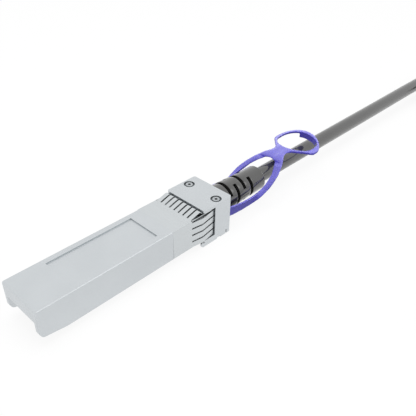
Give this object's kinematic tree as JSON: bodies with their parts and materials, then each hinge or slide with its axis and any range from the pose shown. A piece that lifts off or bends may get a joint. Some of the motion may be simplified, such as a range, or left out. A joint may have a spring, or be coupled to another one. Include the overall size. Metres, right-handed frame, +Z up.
{
  "type": "direct attach copper cable",
  "caption": "Direct attach copper cable: a thick round twinax cable, coiled and tied, with a metal pluggable module and a violet pull tab on each end.",
  "frame": {"origin": "middle of the near plug's foot, on the surface that both plugs and the coil lie on", "axes": "+X from the plug's nose to its cable, +Y to the left of a plug seen from above its cable, +Z up, away from the foot"},
  "size_m": [0.2303, 0.0829, 0.0149],
  "materials": {
    "cast_nickel": "satin nickel on zinc casting",
    "spring_sheet": "satin stainless sheet",
    "screw_steel": "plain steel",
    "circuit_board": "solder mask",
    "gold": "gold plate",
    "chip_black": "moulded epoxy",
    "ceramic": "fired ceramic",
    "core_insulation": "foil over foamed plastic",
    "comb_plastic": "moulded",
    "ferrule_tin": "tinned copper",
    "boot_rubber": "soft moulded, grey",
    "cable_jacket": "smooth matte jacket",
    "violet_plastic": "moulded, violet",
    "tie_strap": "woven strap"
  },
  "bodies": {
    "cable": {"near_top_shell": "cast_nickel", "near_bottom_shell": "cast_nickel", "near_emi_spring": "spring_sheet", "near_cover_screws": "screw_steel", "near_latch_cover": "spring_sheet", "near_return_springs": "screw_steel", "near_paddle_card": "circuit_board", "near_card_contacts": "gold", "near_memory_chip": "chip_black", "near_capacitors": "ceramic", "near_twinax_cores": "core_insulation", "near_wire_comb": "comb_plastic", "near_crimp_ferrule": "ferrule_tin", "near_strain_relief": "boot_rubber", "far_top_shell": "cast_nickel", "far_bottom_shell": "cast_nickel", "far_emi_spring": "spring_sheet", "far_cover_screws": "screw_steel", "far_latch_cover": "spring_sheet", "far_return_springs": "screw_steel", "far_paddle_card": "circuit_board", "far_card_contacts": "gold", "far_memory_chip": "chip_black", "far_capacitors": "ceramic", "far_twinax_cores": "core_insulation", "far_wire_comb": "comb_plastic", "far_crimp_ferrule": "ferrule_tin", "far_strain_relief": "boot_rubber", "near_cable_run": "cable_jacket", "cable_coil": "cable_jacket", "far_cable_run": "cable_jacket", "coil_tie": "tie_strap"},
    "near_release": {"near_latch_slide": "spring_sheet", "near_tab_pins": "screw_steel", "near_pull_tab": "violet_plastic"},
    "far_release": {"far_latch_slide": "spring_sheet", "far_tab_pins": "screw_steel", "far_pull_tab": "violet_plastic"}
  },
  "joints": [
    {"name": "near_pull", "type": "slide", "parent": "cable", "child": "near_release", "axis": [1, 0, 0], "range_m": [0, 0.0022], "stiffness_N_per_m": 250, "springref_m": -0.003, "deforming": ["near_return_springs"]},
    {"name": "far_pull", "type": "slide", "parent": "cable", "child": "far_release", "axis": [1, 0, 0], "range_m": [0, 0.0022], "stiffness_N_per_m": 250, "springref_m": -0.003, "deforming": ["far_return_springs"]}
  ]
}
